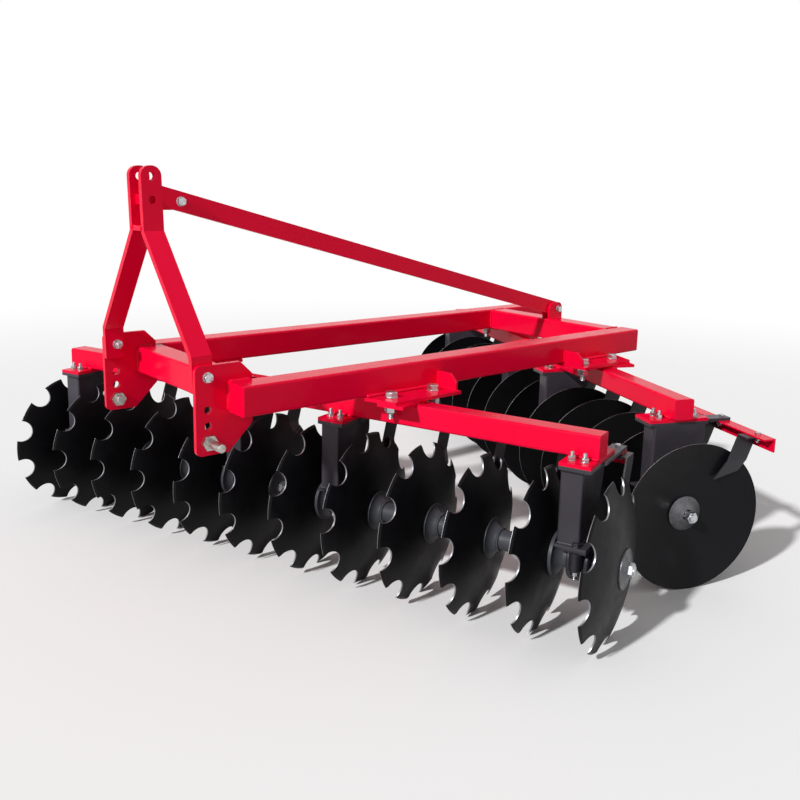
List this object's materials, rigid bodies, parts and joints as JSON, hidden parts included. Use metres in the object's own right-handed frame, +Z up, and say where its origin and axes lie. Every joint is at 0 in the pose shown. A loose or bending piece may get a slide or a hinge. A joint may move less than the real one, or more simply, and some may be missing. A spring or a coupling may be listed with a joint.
{
  "type": "mounted offset disc harrow",
  "caption": "Three-point mounted offset disc harrow: notched front discs, plain rear discs, square-tube frame, A-shaped mast and free-turning gangs.",
  "frame": {"origin": "middle of the footprint, on the ground that the discs stand on", "axes": "+Z up, +Y to the rear, against the direction of travel, +X to the harrow's left"},
  "size_m": [2.7182, 2.9439, 1.4888],
  "materials": {
    "red_paint": "glossy red enamel",
    "black_paint": "glossy black enamel",
    "disc_coat": "black coated steel with bare ground edges",
    "zinc_plate": "zinc plated steel"
  },
  "bodies": {
    "frame": {"beam_plates_front": "red_paint", "beam_plates_rear": "red_paint", "bearing_housings_front": "black_paint", "bearing_housings_rear": "black_paint", "clamp_front_left": "red_paint", "clamp_front_right": "red_paint", "clamp_rear_left": "red_paint", "clamp_rear_right": "red_paint", "frame_beam_left": "red_paint", "frame_beam_right": "red_paint", "front_cross_beam": "red_paint", "gang_beam_front": "red_paint", "gang_beam_rear": "red_paint", "hitch_plate_left": "red_paint", "hitch_plate_right": "red_paint", "leg_front_1": "black_paint", "leg_front_2": "black_paint", "leg_front_3": "black_paint", "leg_front_4": "black_paint", "leg_rear_1": "black_paint", "leg_rear_2": "black_paint", "leg_rear_3": "black_paint", "leg_rear_4": "black_paint", "lower_hitch_pin_left": "zinc_plate", "lower_hitch_pin_right": "zinc_plate", "mast_cheeks": "red_paint", "mast_leg_left": "red_paint", "mast_leg_right": "red_paint", "mast_spacer": "red_paint", "rear_cross_beam": "red_paint", "scraper_bar_front": "red_paint", "scraper_bar_rear": "red_paint", "scrapers_front": "black_paint", "scrapers_rear": "black_paint", "stay_bar": "red_paint", "stay_bracket": "red_paint", "stay_ear": "red_paint"},
    "gang_front_left": {"axle_front_left": "black_paint", "discs_front_left": "disc_coat", "spools_front_left": "black_paint", "end_washers_front_left": "black_paint"},
    "gang_front_right": {"axle_front_right": "black_paint", "discs_front_right": "disc_coat", "spools_front_right": "black_paint", "end_washers_front_right": "black_paint"},
    "gang_rear_left": {"axle_rear_left": "black_paint", "discs_rear_left": "disc_coat", "spools_rear_left": "black_paint", "end_washers_rear_left": "black_paint"},
    "gang_rear_right": {"axle_rear_right": "black_paint", "discs_rear_right": "disc_coat", "spools_rear_right": "black_paint", "end_washers_rear_right": "black_paint"}
  },
  "joints": [
    {"name": "turn_gang_front_left", "type": "hinge", "parent": "frame", "child": "gang_front_left", "pos_m": [0.67519, -0.57381, 0.28], "axis": [0.9461, 0.3239, 0], "continuous": true},
    {"name": "turn_gang_front_right", "type": "hinge", "parent": "frame", "child": "gang_front_right", "pos_m": [-0.63041, -1.02081, 0.28], "axis": [0.9461, 0.3239, 0], "continuous": true},
    {"name": "turn_gang_rear_left", "type": "hinge", "parent": "frame", "child": "gang_rear_left", "pos_m": [0.63271, 0.42624, 0.28], "axis": [0.915, -0.4035, 0], "continuous": true},
    {"name": "turn_gang_rear_right", "type": "hinge", "parent": "frame", "child": "gang_rear_right", "pos_m": [-0.62993, 0.98314, 0.28], "axis": [0.915, -0.4035, 0], "continuous": true}
  ]
}
